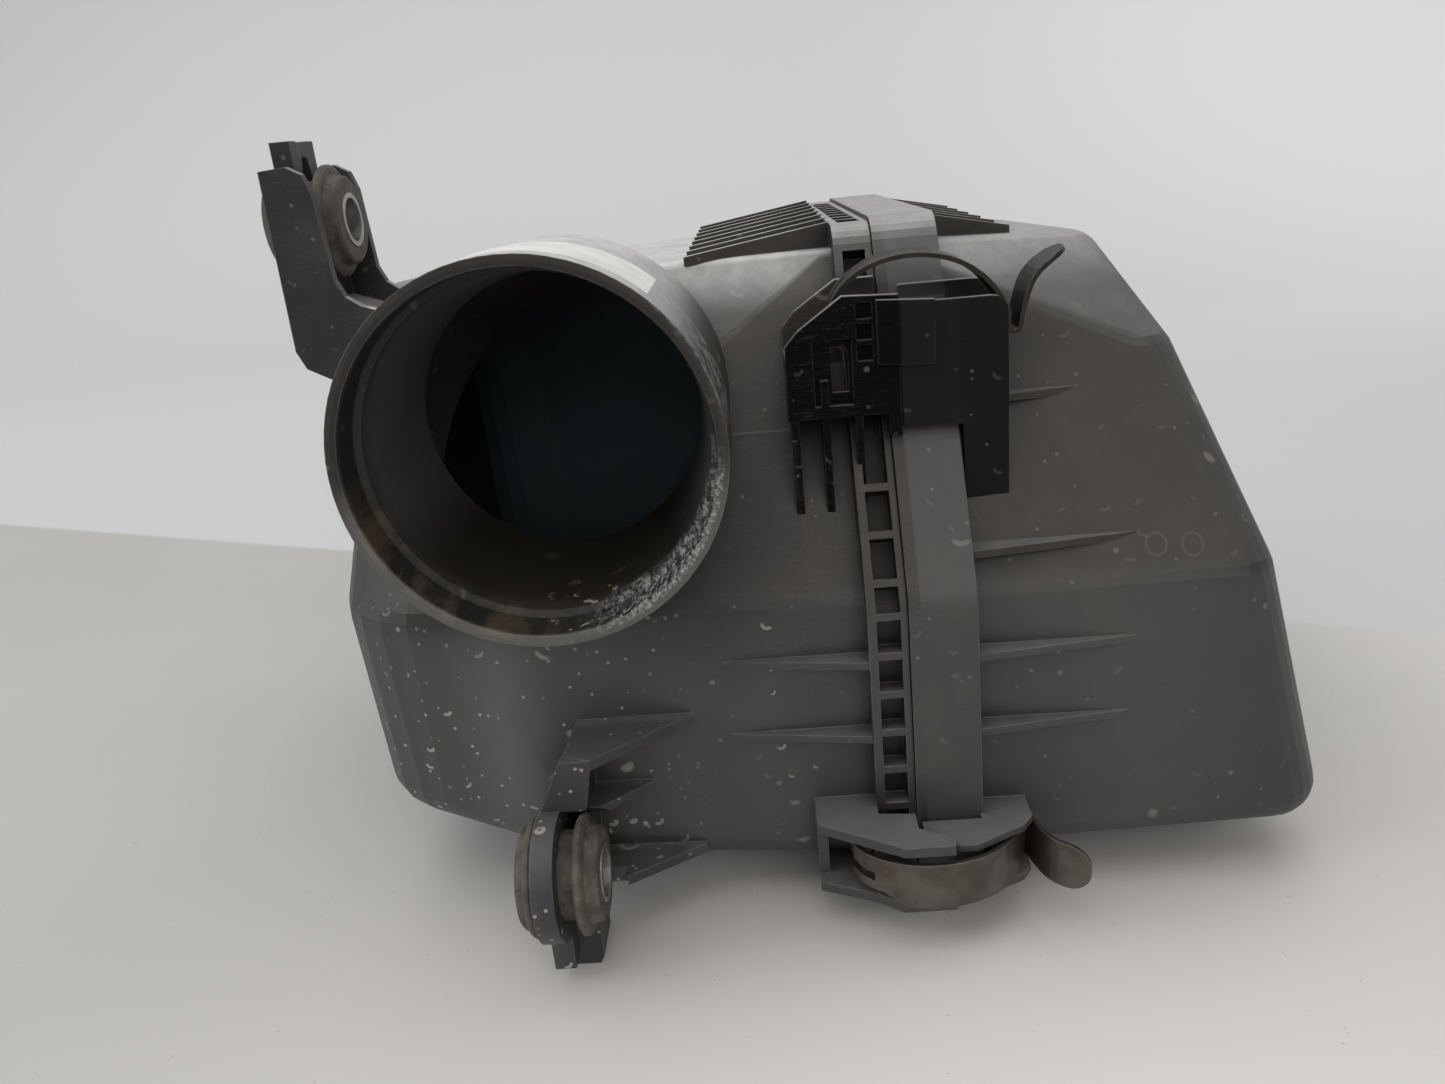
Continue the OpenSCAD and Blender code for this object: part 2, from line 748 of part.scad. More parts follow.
// Honeycomb screen in the outlet.
module outlet_screen() {
    pitch = 6.5;
    color(plastic)
        translate([outlet_at[0], screen_y, outlet_at[1]])
            rotate([-90, 0, 0])
                difference() {
                    cylinder(r = outlet_r - wall - 0.1, h = 5, $fn = 96);
                    for (i = [-4 : 4], j = [-4 : 4])
                        if (norm([i + (j % 2) / 2, j * 0.866]) * pitch < outlet_r - wall - 5)
                            translate([(i + (j % 2) / 2) * pitch, j * 0.866 * pitch, -1])
                                cylinder(r = pitch / 2 - 0.05, h = 8, $fn = 6);
                }
}

// Threaded brass inserts for the air flow sensor's screws.
module sensor_inserts() {
    color("#b08d3e")
        for (s = [-1, 1])
            translate([outlet_at[0] + insert_x * s, sensor_y, outlet_at[1] + outlet_r - 2.6])
                difference() {
                    cylinder(r = insert_r, h = 6, $fn = 48);
                    translate([0, 0, -1])
                        cylinder(r = 1.7, h = 8, $fn = 48);
                }
}

// Plain adhesive label on top of the spigot.
module label_blank() {
    low = spigot_r - spigot_step;
    color("white")
        label_band([[label_r, label_y[0]], [label_r + label_t, label_y[0]], [label_r + label_t, hose_l + 0.2],
                    [low + 0.16, hose_l + 0.6], [low + 0.16, label_y[1]], [low + 0.02, label_y[1]],
                    [low + 0.02, hose_l + 0.2], [label_r, hose_l + 0.05]]);
}

case();
cover();
clip_front_top();
clip_front_bottom();
clip_rear_top();
clip_rear_bottom();
grommet_upper();
grommet_lower();
grommet_rear();
sleeve_upper();
sleeve_lower();
sleeve_rear();
filter_frame();
filter_pleats();
filter_beads();
outlet_screen();
sensor_inserts();
label_blank();
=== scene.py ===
import json
import math
import bpy
from mathutils import Matrix, Vector


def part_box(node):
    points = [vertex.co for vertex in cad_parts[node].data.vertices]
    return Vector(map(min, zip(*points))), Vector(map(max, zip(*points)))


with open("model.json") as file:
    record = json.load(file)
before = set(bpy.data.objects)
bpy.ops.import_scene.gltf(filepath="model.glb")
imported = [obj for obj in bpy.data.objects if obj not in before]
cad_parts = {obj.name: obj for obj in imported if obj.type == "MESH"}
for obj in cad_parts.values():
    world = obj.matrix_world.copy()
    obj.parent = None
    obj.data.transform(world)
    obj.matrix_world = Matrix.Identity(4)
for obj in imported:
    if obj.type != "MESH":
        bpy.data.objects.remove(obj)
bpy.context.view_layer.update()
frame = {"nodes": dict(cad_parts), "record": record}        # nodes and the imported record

scene = bpy.context.scene
scene.view_settings.view_transform = "Standard"
scene.view_settings.look = "None"

MM = 0.001
FLOOR_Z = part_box("case")[0].z


# ---------------------------------------------------------------- node helpers
class Nodes:
    """Short names for building a material's node tree. Lengths are in metres."""

    def __init__(self, material):
        material.use_nodes = True
        self.tree = material.node_tree
        self.tree.nodes.clear()
        self.out = self.add("ShaderNodeOutputMaterial")
        self.coord = self.add("ShaderNodeTexCoord").outputs["Object"]

    def add(self, kind, **values):
        node = self.tree.nodes.new(kind)
        for name, value in values.items():
            setattr(node, name, value)
        return node

    def put(self, socket, value):
        if hasattr(value, "links"):
            self.tree.links.new(value, socket)
        else:
            socket.default_value = value

    def math(self, operation, a, b=0.0):
        node = self.add("ShaderNodeMath", operation=operation)
        self.put(node.inputs[0], a)
        self.put(node.inputs[1], b)
        return node.outputs[0]

    def mul(self, a, b):
        return self.math("MULTIPLY", a, b)

    def plus(self, a, b):
        return self.math("ADD", a, b)

    def minus(self, a, b):
        return self.math("SUBTRACT", a, b)

    def most(self, a, b):
        return self.math("MAXIMUM", a, b)

    def both(self, *masks):
        """Product of masks: 1 only where all of them are 1."""
        result = masks[0]
        for mask in masks[1:]:
            result = self.mul(result, mask)
        return result

    def vmath(self, operation, a, b=(0, 0, 0)):
        node = self.add("ShaderNodeVectorMath", operation=operation)
        self.put(node.inputs[0], a)
        self.put(node.inputs[1], b)
        plain_number = operation in ("DOT_PRODUCT", "LENGTH", "DISTANCE")
        return node.outputs["Value" if plain_number else "Vector"]

    def split(self, vector):
        node = self.add("ShaderNodeSeparateXYZ")
        self.put(node.inputs[0], vector)
        return node.outputs["X"], node.outputs["Y"], node.outputs["Z"]

    def step(self, value, low, high):
        """0 below low, 1 above high, smooth between; low may be above high."""
        node = self.add("ShaderNodeMapRange", interpolation_type="SMOOTHSTEP")
        flip = low > high
        self.put(node.inputs["Value"], value)
        node.inputs["From Min"].default_value = min(low, high)
        node.inputs["From Max"].default_value = max(low, high)
        node.inputs["To Min"].default_value = 1.0 if flip else 0.0
        node.inputs["To Max"].default_value = 0.0 if flip else 1.0
        return node.outputs[0]

    def noise(self, scale, detail=2.0, rough=0.5, stretch=(1, 1, 1), shift=(0, 0, 0)):
        place = self.add("ShaderNodeMapping")
        self.put(place.inputs["Vector"], self.coord)
        place.inputs["Scale"].default_value = stretch
        place.inputs["Location"].default_value = shift
        node = self.add("ShaderNodeTexNoise")
        self.put(node.inputs["Vector"], place.outputs[0])
        node.inputs["Scale"].default_value = scale
        node.inputs["Detail"].default_value = detail
        node.inputs["Roughness"].default_value = rough
        return node.outputs["Fac"]

    def mix(self, factor, a, b):
        node = self.add("ShaderNodeMix", data_type="RGBA")
        self.put(node.inputs[0], factor)
        self.put(node.inputs[6], (*a, 1) if isinstance(a, tuple) else a)
        self.put(node.inputs[7], (*b, 1) if isinstance(b, tuple) else b)
        return node.outputs[2]

    def between(self, value, low, high, soft):
        """1 where low < value < high."""
        rise = self.step(value, low - soft, low + soft)
        fall = self.step(value, high + soft, high - soft)
        return self.mul(rise, fall)

    def specks(self, scale, size, keep, shift=(0, 0, 0)):
        """Round specks: one in some of the cells of a Voronoi pattern."""
        place = self.add("ShaderNodeMapping")
        self.put(place.inputs["Vector"], self.coord)
        place.inputs["Location"].default_value = shift
        cells = self.add("ShaderNodeTexVoronoi")
        self.put(cells.inputs["Vector"], place.outputs[0])
        cells.inputs["Scale"].default_value = scale
        pick = self.split(cells.outputs["Color"])
        dot = self.step(cells.outputs["Distance"], size, size * 0.5)
        return self.mul(dot, self.math("LESS_THAN", pick[0], keep))

    def crescents(self, scale, radius, width, keep, shift=(0, 0, 0)):
        """Crescent scuffs: part of a ring in some of the cells of a Voronoi pattern."""
        place = self.add("ShaderNodeMapping")
        self.put(place.inputs["Vector"], self.coord)
        place.inputs["Location"].default_value = shift
        place.inputs["Scale"].default_value = (scale, scale, scale)
        cells = self.add("ShaderNodeTexVoronoi")
        self.put(cells.inputs["Vector"], place.outputs[0])
        cells.inputs["Scale"].default_value = 1.0
        arm = self.vmath("SUBTRACT", place.outputs[0], cells.outputs["Position"])
        b = self.split(cells.outputs["Color"])[2]
        centred = self.vmath("SUBTRACT", cells.outputs["Color"], (0.5, 0.5, 0.5))
        side = self.vmath("DOT_PRODUCT", self.vmath("NORMALIZE", arm), self.vmath("NORMALIZE", centred))
        ring = self.math("ABSOLUTE", self.minus(cells.outputs["Distance"], radius))
        line = self.step(ring, width, width * 0.4)
        return self.both(line, self.step(side, 0.35, 0.7), self.math("LESS_THAN", b, keep))

    def edge(self, radius, low=0.02, high=0.25):
        """1 on the edges, from how far the rounded normal leans from the true one."""
        round_ = self.add("ShaderNodeBevel", samples=6)
        round_.inputs["Radius"].default_value = radius
        flat = self.add("ShaderNodeNewGeometry").outputs["Normal"]
        lean = self.vmath("DOT_PRODUCT", round_.outputs[0], flat)
        return self.step(lean, 1.0 - low, 1.0 - high)

    def hollow(self, reach, low=0.8, high=0.25):
        """1 in pockets and narrow gaps of the same piece, 0 on open faces."""
        node = self.add("ShaderNodeAmbientOcclusion", samples=5, only_local=True)
        node.inputs["Distance"].default_value = reach
        return self.step(node.outputs["AO"], low, high)

    def bump(self, *layers, radius=0.0):
        """Chains (height, distance) layers on a rounded normal."""
        normal = None
        if radius:
            round_ = self.add("ShaderNodeBevel", samples=6)
            round_.inputs["Radius"].default_value = radius
            normal = round_.outputs[0]
        for height, distance in layers:
            node = self.add("ShaderNodeBump")
            node.inputs["Strength"].default_value = 1.0
            node.inputs["Distance"].default_value = distance
            self.put(node.inputs["Height"], height)
            if normal is not None:
                self.put(node.inputs["Normal"], normal)
            normal = node.outputs[0]
        return normal

    def shader(self, color, roughness, normal=None, metallic=0.0, **constants):
        node = self.add("ShaderNodeBsdfPrincipled")
        self.put(node.inputs["Base Color"], (*color, 1) if isinstance(color, tuple) else color)
        self.put(node.inputs["Roughness"], roughness)
        self.put(node.inputs["Metallic"], metallic)
        for name, value in constants.items():
            node.inputs[name.replace("_", " ")].default_value = value
        if normal is not None:
            self.put(node.inputs["Normal"], normal)
        self.put(self.out.inputs["Surface"], node.outputs[0])
        return node


# ---------------------------------------------------------------- housing plastic
# Places on the housing, in millimetres of the shared frame.
SKIRT_X = (78.4, 91.2)
GUARD_X, GUARD_Z, GUARD_Y = (50, 103), (-32, 26), 38.5
JOINT_X = 78
COMB_X = (66.2, 78.0)
PANEL_X, PANEL_TOP = (34, 54), -9.1
CREASE_Z = -44.5
ROOF_Z = (15, 27)
# Dried drops on the wall right of the spigot: (x, z), size, which way the thick side leans.
DROPS = (((44, -49), 3.0, -0.5), ((44, -60), 1.6, 0.9), ((44, -66), 1.6, 0.9),
         ((45, -80), 2.4, 0.6), ((47, -88), 1.5, -0.4), ((53, -86), 1.5, -0.8))
EJECTOR_MARKS = ((133, -38), (141, -38.5))
# Pale colour for scratches and rubbed edges; on the edges it is partly a painted highlight.
PALE_WEAR_AND_HIGHLIGHT = (0.30, 0.29, 0.28)


class Plastic(Nodes):
    """Black glass-filled moulding, painted in layers over a base colour. Places are in millimetres."""

    def __init__(self, material):
        super().__init__(material)
        self.place = self.vmath("MULTIPLY", self.coord, (1000, 1000, 1000))
        self.x, self.y, self.z = self.split(self.place)
        normal = self.add("ShaderNodeNewGeometry").outputs["Normal"]
        self.facing_y, self.facing_z = self.split(normal)[1:]
        self.front = self.step(self.facing_y, -0.2, -0.5)
        self.radius = self.far_from(0, 0)
        self.film = self.noise(55, 5, 0.65, shift=(3, 1, 2))
        self.bore = self.mul(self.step(self.radius, 39.2, 38.4), self.step(self.y, 50, 44))

    def away(self, x, z):
        """Arm from a line along Y through (x, z)."""
        return self.vmath("MULTIPLY", self.vmath("SUBTRACT", self.place, (x, 0, z)), (1, 0, 1))

    def far_from(self, x, z):
        return self.vmath("LENGTH", self.away(x, z))

    def paint(self, mask, strength, color):
        self.base = self.mix(self.mul(mask, strength), self.base, color)

    def cloudy(self, dark, light):
        return self.mix(self.step(self.film, 0.4, 0.7), dark, light)

    def body(self):
        """Cloudy black with a brown film; the upper facets are painted darker and browner than the skirt and
        the lower ones, a painted shade and reflection.
        """
        cloud = self.noise(14, 4, 0.6)
        self.base = self.mix(self.step(cloud, 0.35, 0.7), (0.048, 0.0476, 0.047), (0.063, 0.062, 0.060))
        self.paint(self.step(self.film, 0.5, 0.75), 0.45, (0.080, 0.074, 0.066))
        on_skirt = self.between(self.x, *SKIRT_X, 0.3)
        above_crease = self.step(self.z, CREASE_Z - 4.5, CREASE_Z + 4.5)
        self.upper = self.mul(above_crease, self.minus(1.0, on_skirt))
        # Painted shade, with a brown painted reflection, on the upper facets.
        self.paint(self.upper, 0.75, self.cloudy((0.030, 0.0255, 0.0215), (0.046, 0.039, 0.0325)))

    def brackets(self):
        """The brackets are cleaner and bluer."""
        high = self.mul(self.step(self.x, -45, -48), self.step(self.z, 8, 13))
        low = self.both(self.step(self.x, 24, 18), self.step(self.y, 21, 18), self.step(self.z, -68.5, -69.5))
        self.bracket = self.most(high, low)
        self.paint(self.bracket, 0.55, self.cloudy((0.019, 0.025, 0.029), (0.038, 0.046, 0.051)))

    def spigot_shadow_and_dark_right(self):
        """Painted shadow of the spigot on the wall just right of it, and darker far right on the cover."""
        near = self.step(self.far_from(26, -34), 34, 12)
        spigot_shadow = self.mul(near, self.step(self.facing_y, -0.2, -0.6))
        far_right = self.mul(self.step(self.x, 128, 165), 0.7)
        # Painted spigot shadow, and a darker far right on the cover.
        self.paint(self.most(spigot_shadow, far_right), 0.55, (0.018, 0.0175, 0.017))

    def guard_plate_shade(self):
        """The upper clip's smooth guard plates are cleaner than the walls, and painted near black: painted
        shade for the dark room their smooth faces reflect.
        """
        self.plate_zone = self.both(self.step(self.y, GUARD_Y + 1.5, GUARD_Y - 1.5),
                                    self.between(self.x, *GUARD_X, 0.5), self.between(self.z, *GUARD_Z, 0.5))
        self.plate = self.mul(self.plate_zone, self.step(self.facing_y, -0.9, -0.97))
        self.cover_side = self.step(self.x, JOINT_X - 0.5, JOINT_X + 0.5)
        strength = self.plus(0.95, self.mul(self.cover_side, -0.10))
        # Painted shade: near-black colour on the guard plates' front faces.
        self.paint(self.plate, strength, (0.003, 0.0033, 0.0036))

    def panel(self):
        """Painted shade on a panel below a thin moulded line, left of the guard plates, with a painted
        highlight along the line.
        """
        across = self.between(self.x, *PANEL_X, 0.4)
        below = self.mul(self.step(self.z, PANEL_TOP + 0.1, PANEL_TOP - 0.3), self.step(self.z, -42, -24))
        # Painted shade on the panel.
        self.paint(self.both(self.front, across, below), 0.45, (0.020, 0.019, 0.018))
        # Painted highlight along the moulded line.
        line = self.between(self.z, PANEL_TOP - 0.2, PANEL_TOP + 0.2, 0.15)
        self.paint(self.both(line, across, self.front), 0.5, (0.13, 0.12, 0.11))

    def dust_and_top_sheen(self):
        """Dust and a painted reflection on what faces up, but not inside the spigot; palest on the case's
        roof.
        """
        up = self.mul(self.step(self.facing_z, 0.35, 0.95), self.minus(1.0, self.bore))
        patchy = self.plus(0.72, self.mul(self.step(self.noise(120, 5, 0.7), 0.3, 0.7), 0.28))
        wiped = self.minus(1.0, self.mul(self.bracket, 0.55))
        self.dust_and_sheen = self.both(up, patchy, wiped)
        roof = self.mix(self.step(self.x, 66, 50), (0.42, 0.422, 0.42), (0.68, 0.685, 0.685))
        on_roof = self.step(self.z, *ROOF_Z)
        # Dust and painted reflection on the up-facing faces, palest on the roof.
        self.paint(self.dust_and_sheen, 0.9, self.mix(on_roof, (0.15, 0.152, 0.15), roof))

    def lower_left_sheen(self):
        """The case's lower left bend gets a pale painted sheen, and the wall round it is darker."""
        bend = self.both(self.between(self.x, -27, -14, 10), self.step(self.z, -36, -54), self.front)
        # Painted sheen on the bend.
        self.paint(bend, 0.6, (0.150, 0.154, 0.155))
        left = self.mul(self.step(self.x, -38, -52), self.step(self.z, 0, -20))
        self.paint(left, 0.5, (0.030, 0.030, 0.031))

    def splashes(self):
        """Splash marks and grit, thickest low on the case's left."""
        low_left = self.mul(self.step(self.z, -20, -75), self.step(self.x, 40, -10))
        everywhere = self.plus(self.mul(low_left, 0.75), 0.25)
        gathered = self.step(self.noise(22, 3, 0.6, shift=(1, 5, 2)), 0.34, 0.54)
        fine = self.mul(self.specks(300, 0.17, 0.24), gathered)
        finest = self.mul(self.specks(430, 0.24, 0.28, shift=(0.05, 0.02, 0.07)), low_left)
        coarse = self.specks(150, 0.13, 0.10, shift=(0.03, 0.01, 0.02))
        marks = self.crescents(95, 0.22, 0.07, 0.16)
        small_marks = self.crescents(190, 0.24, 0.09, 0.20, shift=(5.3, 2.1, 7.7))
        grit = self.most(self.mul(fine, everywhere), self.mul(coarse, everywhere))
        grit = self.most(grit, self.mul(finest, 0.9))
        grit = self.most(grit, self.mul(marks, self.plus(self.mul(low_left, 0.4), 0.3)))
        self.grit = self.most(grit, self.mul(small_marks, self.plus(self.mul(low_left, 0.8), 0.1)))
        self.paint(self.grit, 0.7, (0.50, 0.48, 0.44))

    def dried_drop(self, at, size, lean):
        """Dried drop on the front walls: a thin ring, thickest on one side."""
        arm = self.away(*at)
        ring = self.math("ABSOLUTE", self.minus(self.vmath("LENGTH", arm), size * 0.36))
        line = self.step(ring, size * 0.20, size * 0.06)
        toward = Vector((lean, 0, -1)).normalized()
        side = self.vmath("DOT_PRODUCT", self.vmath("NORMALIZE", arm), tuple(toward))
        self.paint(self.both(line, self.step(side, -0.1, 0.6), self.front), 0.62, (0.40, 0.385, 0.35))

    def ejector_mark(self, at):
        ring = self.between(self.far_from(*at), 2.0, 2.5, 0.2)
        self.paint(self.mul(ring, self.front), 0.28, (0.16, 0.15, 0.14))

    def scratches(self):
        hair = self.noise(70, 3, 0.6, stretch=(1, 9, 14), shift=(2, 2, 9))
        line = self.step(self.math("ABSOLUTE", self.minus(hair, 0.5)), 0.006, 0.001)
        patch = self.noise(9, 2, 0.5, shift=(7, 4, 1))
        self.paint(self.mul(line, self.step(patch, 0.55, 0.7)), 0.16, PALE_WEAR_AND_HIGHLIGHT)

    def inside_spigot(self):
        """Rubbed lip, brown dirt low on the left, pale scuffs low on the right, crumbs at the bottom, and
        painted light on the far wall inside.
        """
        lip = self.mul(self.bore, self.step(self.y, 15, 7))
        self.paint(lip, 0.75, (0.021, 0.021, 0.020))
        behind_lip = self.mul(self.bore, self.step(self.y, 9, 16))
        walls = self.mix(self.step(self.z, -8, -26), (0.075, 0.086, 0.088), (0.022, 0.019, 0.015))
        self.paint(behind_lip, 0.8, walls)
        self.below = self.step(self.z, 2, -14)
        streak = self.step(self.noise(150, 6, 0.75, stretch=(1, 0.35, 1)), 0.44, 0.6)
        dirt = self.both(lip, streak, self.below, self.step(self.x, 6, -10))
        self.paint(dirt, 0.7, (0.105, 0.083, 0.057))
        torn = self.step(self.noise(900, 5, 0.75, stretch=(1, 0.4, 1), shift=(4, 4, 4)), 0.44, 0.64)
        self.scuff = self.both(lip, torn, self.step(self.x, 2, 22), self.step(self.z, 2, -12))
        self.paint(self.scuff, 0.85, (0.58, 0.58, 0.57))
        crumbs = self.step(self.noise(240, 4, 0.7, shift=(6, 1, 3)), 0.60, 0.66)
        bottom = self.both(self.bore, self.step(self.y, 26, 12),
                           self.step(self.z, -22, -30), self.between(self.x, -2, 20, 4))
        self.paint(self.mul(crumbs, bottom), 0.8, (0.46, 0.40, 0.28))
        # Painted light: pale blue-grey on the far inside wall seen down the spigot.
        lit_far_wall = self.both(self.step(self.y, 100, 150), self.step(self.facing_y, -0.3, -0.8),
                             self.step(self.x, 62, 58), self.step(self.z, 24, 20))
        self.paint(lit_far_wall, 1.0, (0.12, 0.17, 0.20))

    def outside_spigot(self):
        """Combed pale abrasion on its right, painted shade on its underside and a rubbed rim."""
        outside = self.mul(self.between(self.radius, 39.6, 40.3, 0.1), self.step(self.y, 24, 20))
        combed = self.step(self.noise(420, 5, 0.75, stretch=(1, 0.5, 1), shift=(1, 8, 5)), 0.42, 0.62)
        right = self.mul(self.step(self.x, 18, 31), self.between(self.z, 4, 31, 5))
        self.paint(self.both(outside, combed, right), 0.6, (0.26, 0.265, 0.27))
        tube = self.mul(self.between(self.radius, 39, 40.3, 0.1), self.step(self.y, 40, 30))
        # Painted shade on the tube's underside.
        self.paint(self.mul(tube, self.step(self.z, 6, -4)), 0.5, (0.016, 0.017, 0.018))
        rim = self.mul(self.step(self.y, 0.7, 0.1), self.between(self.radius, 37, 40.3, 0.2))
        self.paint(self.mul(rim, self.below), 0.3, (0.30, 0.295, 0.28))

    def recess_shade(self):
        """Painted shade in pockets and corners; the comb's pockets get the darkest painted shade."""
        comb = self.mul(self.between(self.x, *COMB_X, 0.2), self.step(self.facing_y, -0.2, -0.6))
        comb_pocket_shade = self.mul(comb, self.hollow(14 * MM, 0.93, 0.60))
        # Painted shade where ambient occlusion finds pockets.
        self.paint(self.hollow(9 * MM, 0.62, 0.2), 0.6, (0.008, 0.0078, 0.0075))
        self.paint(comb_pocket_shade, 0.92, (0.004, 0.004, 0.004))

    def worn_edges_and_highlight(self):
        broken = self.step(self.noise(200, 4, 0.7, shift=(9, 1, 4)), 0.32, 0.58)
        off_plates = self.minus(1.0, self.mul(self.plate_zone, 0.7))
        # Pale rubbed edges: partly wear, partly a painted highlight where the rounding catches the light.
        rub_and_highlight = self.both(self.edge(0.55 * MM, 0.03, 0.3), broken, off_plates)
        self.paint(rub_and_highlight, 0.6, PALE_WEAR_AND_HIGHLIGHT)

    def finish(self):
        """Roughness, bump and specular level over the painted colour."""
        rough = self.plus(0.37, self.mul(self.film, 0.16))
        rough = self.plus(rough, self.mul(self.dust_and_sheen, 0.2))
        rough = self.plus(rough, self.mul(self.grit, 0.25))
        rough = self.minus(rough, self.mul(self.plate, 0.08))
        grain, leather, waves = self.noise(2600, 2, 0.6), self.noise(330, 3, 0.6), self.noise(32, 2, 0.5)
        bumped = self.bump((grain, 0.035 * MM), (leather, 0.05 * MM), (waves, 0.35 * MM),
                           (self.grit, 0.06 * MM), (self.scuff, 0.08 * MM), radius=0.5 * MM)
        shader = self.shader(self.base, rough, bumped)
        clean_plate = self.mul(self.plate, self.plus(1.0, self.mul(self.cover_side, -0.2)))
        clean = self.most(clean_plate, self.most(self.mul(self.bracket, 0.2), self.mul(self.upper, 0.35)))
        self.put(shader.inputs["Specular IOR Level"], self.minus(0.45, self.mul(clean, 0.42)))


def plastic_material(name):
    m = bpy.data.materials.new(name)
    p = Plastic(m)
    p.body()
    p.brackets()
    p.spigot_shadow_and_dark_right()
    p.guard_plate_shade()
    p.panel()
    p.dust_and_top_sheen()
    p.lower_left_sheen()
    p.splashes()
    for at, size, lean in DROPS:
        p.dried_drop(at, size, lean)
    for at in EJECTOR_MARKS:
        p.ejector_mark(at)
    p.scratches()
    p.inside_spigot()
    p.outside_spigot()
    p.recess_shade()
    p.worn_edges_and_highlight()
    p.finish()
    return m


# ---------------------------------------------------------------- other materials
def rubber_material(name):
    m = bpy.data.materials.new(name)
    n = Nodes(m)
    cloud = n.noise(220, 5, 0.7)
    fine = n.noise(2200, 3, 0.6)
    base = n.mix(n.step(cloud, 0.35, 0.68), (0.062, 0.055, 0.046), (0.125, 0.112, 0.092))
    base = n.mix(n.mul(n.specks(700, 0.25, 0.2), 0.6), base, (0.25, 0.22, 0.17))
    base = n.mix(n.mul(n.edge(0.4 * MM), 0.35), base, (0.19, 0.18, 0.16))
    bumped = n.bump((fine, 0.06 * MM), (cloud, 0.12 * MM), radius=0.35 * MM)
    n.shader(base, n.plus(0.62, n.mul(cloud, 0.22)), bumped, Specular_IOR_Level=0.35)
    return m


def sleeve_material(name):
    m = bpy.data.materials.new(name)
    n = Nodes(m)
    cloud = n.noise(300, 5, 0.65)
    turned = n.noise(900, 2, 0.5, stretch=(12, 1, 1))
    base = n.mix(n.step(cloud, 0.38, 0.66), (0.26, 0.255, 0.245), (0.42, 0.42, 0.41))
    rust = n.step(n.noise(150, 4, 0.7, shift=(3, 3, 3)), 0.56, 0.7)
    base = n.mix(n.mul(rust, 0.5), base, (0.16, 0.11, 0.07))
    base = n.mix(n.mul(n.edge(0.25 * MM), 0.7), base, (0.62, 0.62, 0.60))
    bumped = n.bump((turned, 0.01 * MM), (cloud, 0.02 * MM), radius=0.2 * MM)
    n.shader(base, n.plus(0.34, n.mul(cloud, 0.2)), bumped, metallic=0.85)
    return m


def spring_steel_material(name):
    m = bpy.data.materials.new(name)
    n = Nodes(m)
    cloud = n.noise(90, 4, 0.6)
    stain = n.noise(45, 5, 0.7, shift=(2, 7, 3))
    brushed = n.noise(1500, 2, 0.5, stretch=(0.12, 1, 1))
    base = n.mix(n.step(cloud, 0.35, 0.68), (0.090, 0.078, 0.067), (0.150, 0.134, 0.119))
    base = n.mix(n.mul(n.step(stain, 0.52, 0.68), 0.6), base, (0.075, 0.058, 0.044))
    base = n.mix(n.mul(n.specks(600, 0.2, 0.16), 0.6), base, (0.24, 0.20, 0.15))
    # The clips at the top are darker than the dusty ones underneath.
    top = n.step(n.split(n.coord)[2], -40 * MM, -25 * MM)
    base = n.mix(n.mul(top, 0.8), base, (0.020, 0.018, 0.017))
    base = n.mix(n.mul(n.edge(0.25 * MM), 0.6), base, (0.42, 0.40, 0.37))
    bumped = n.bump((brushed, 0.008 * MM), (cloud, 0.03 * MM), radius=0.22 * MM)
    n.shader(base, n.plus(0.30, n.mul(stain, 0.24)), bumped, metallic=0.82)
    return m


def label_material(name):
    m = bpy.data.materials.new(name)
    n = Nodes(m)
    cloud = n.noise(120, 4, 0.6)
    fibre = n.noise(1800, 3, 0.6)
    base = n.mix(n.step(cloud, 0.35, 0.7), (0.68, 0.68, 0.67), (0.80, 0.80, 0.80))
    base = n.mix(n.mul(n.specks(500, 0.22, 0.12), 0.5), base, (0.35, 0.33, 0.30))
    n.shader(base, n.plus(0.45, n.mul(cloud, 0.1)), n.bump((fibre, 0.01 * MM), (cloud, 0.05 * MM)))
    return m


def simple_material(name, dark, light, rough, grain_scale, metallic=0.0, depth=0.05 * MM):
    """Hidden and small parts: cloudy colour, grain and rubbed edges."""
    m = bpy.data.materials.new(name)
    n = Nodes(m)
    cloud = n.noise(grain_scale * 0.15, 4, 0.6)
    grain = n.noise(grain_scale, 3, 0.6)
    base = n.mix(n.step(cloud, 0.35, 0.68), dark, light)
    pale = tuple(min(1.0, c * 1.6 + 0.03) for c in light)
    base = n.mix(n.mul(n.edge(0.3 * MM), 0.4), base, pale)
    bumped = n.bump((grain, depth), radius=0.25 * MM)
    n.shader(base, n.plus(rough, n.mul(cloud, 0.15)), bumped, metallic=metallic)
    return m


# Slot: dark colour, light colour, roughness, grain scale.
SIMPLE_FINISHES = {
    "filter_foam": ((0.05, 0.11, 0.30), (0.08, 0.16, 0.40), 0.55, 1500),
    "filter_paper": ((0.60, 0.52, 0.34), (0.74, 0.66, 0.47), 0.75, 2500),
    "glue_bead": ((0.70, 0.66, 0.55), (0.82, 0.78, 0.68), 0.35, 400),
    "screen_plastic": ((0.020, 0.020, 0.021), (0.036, 0.036, 0.036), 0.45, 2500),
    "insert_brass": ((0.50, 0.35, 0.12), (0.66, 0.49, 0.20), 0.28, 1800, 0.95, 0.01 * MM),
}
MATERIALS = {
    "housing_plastic": plastic_material("housing_plastic"),
    "spring_steel": spring_steel_material("spring_steel"),
    "grommet_rubber": rubber_material("grommet_rubber"),
    "sleeve_steel": sleeve_material("sleeve_steel"),
    "label_paper": label_material("label_paper"),
}
for slot_name, values in SIMPLE_FINISHES.items():
    MATERIALS[slot_name] = simple_material(slot_name, *values)

SLOT_OF = {s["node"]: s["material_slot"] for s in frame["record"]["subparts"]}
for node_name, obj in frame["nodes"].items():
    obj.data.materials.clear()
    obj.data.materials.append(MATERIALS[SLOT_OF[node_name]])
    for polygon in obj.data.polygons:
        polygon.material_index = 0


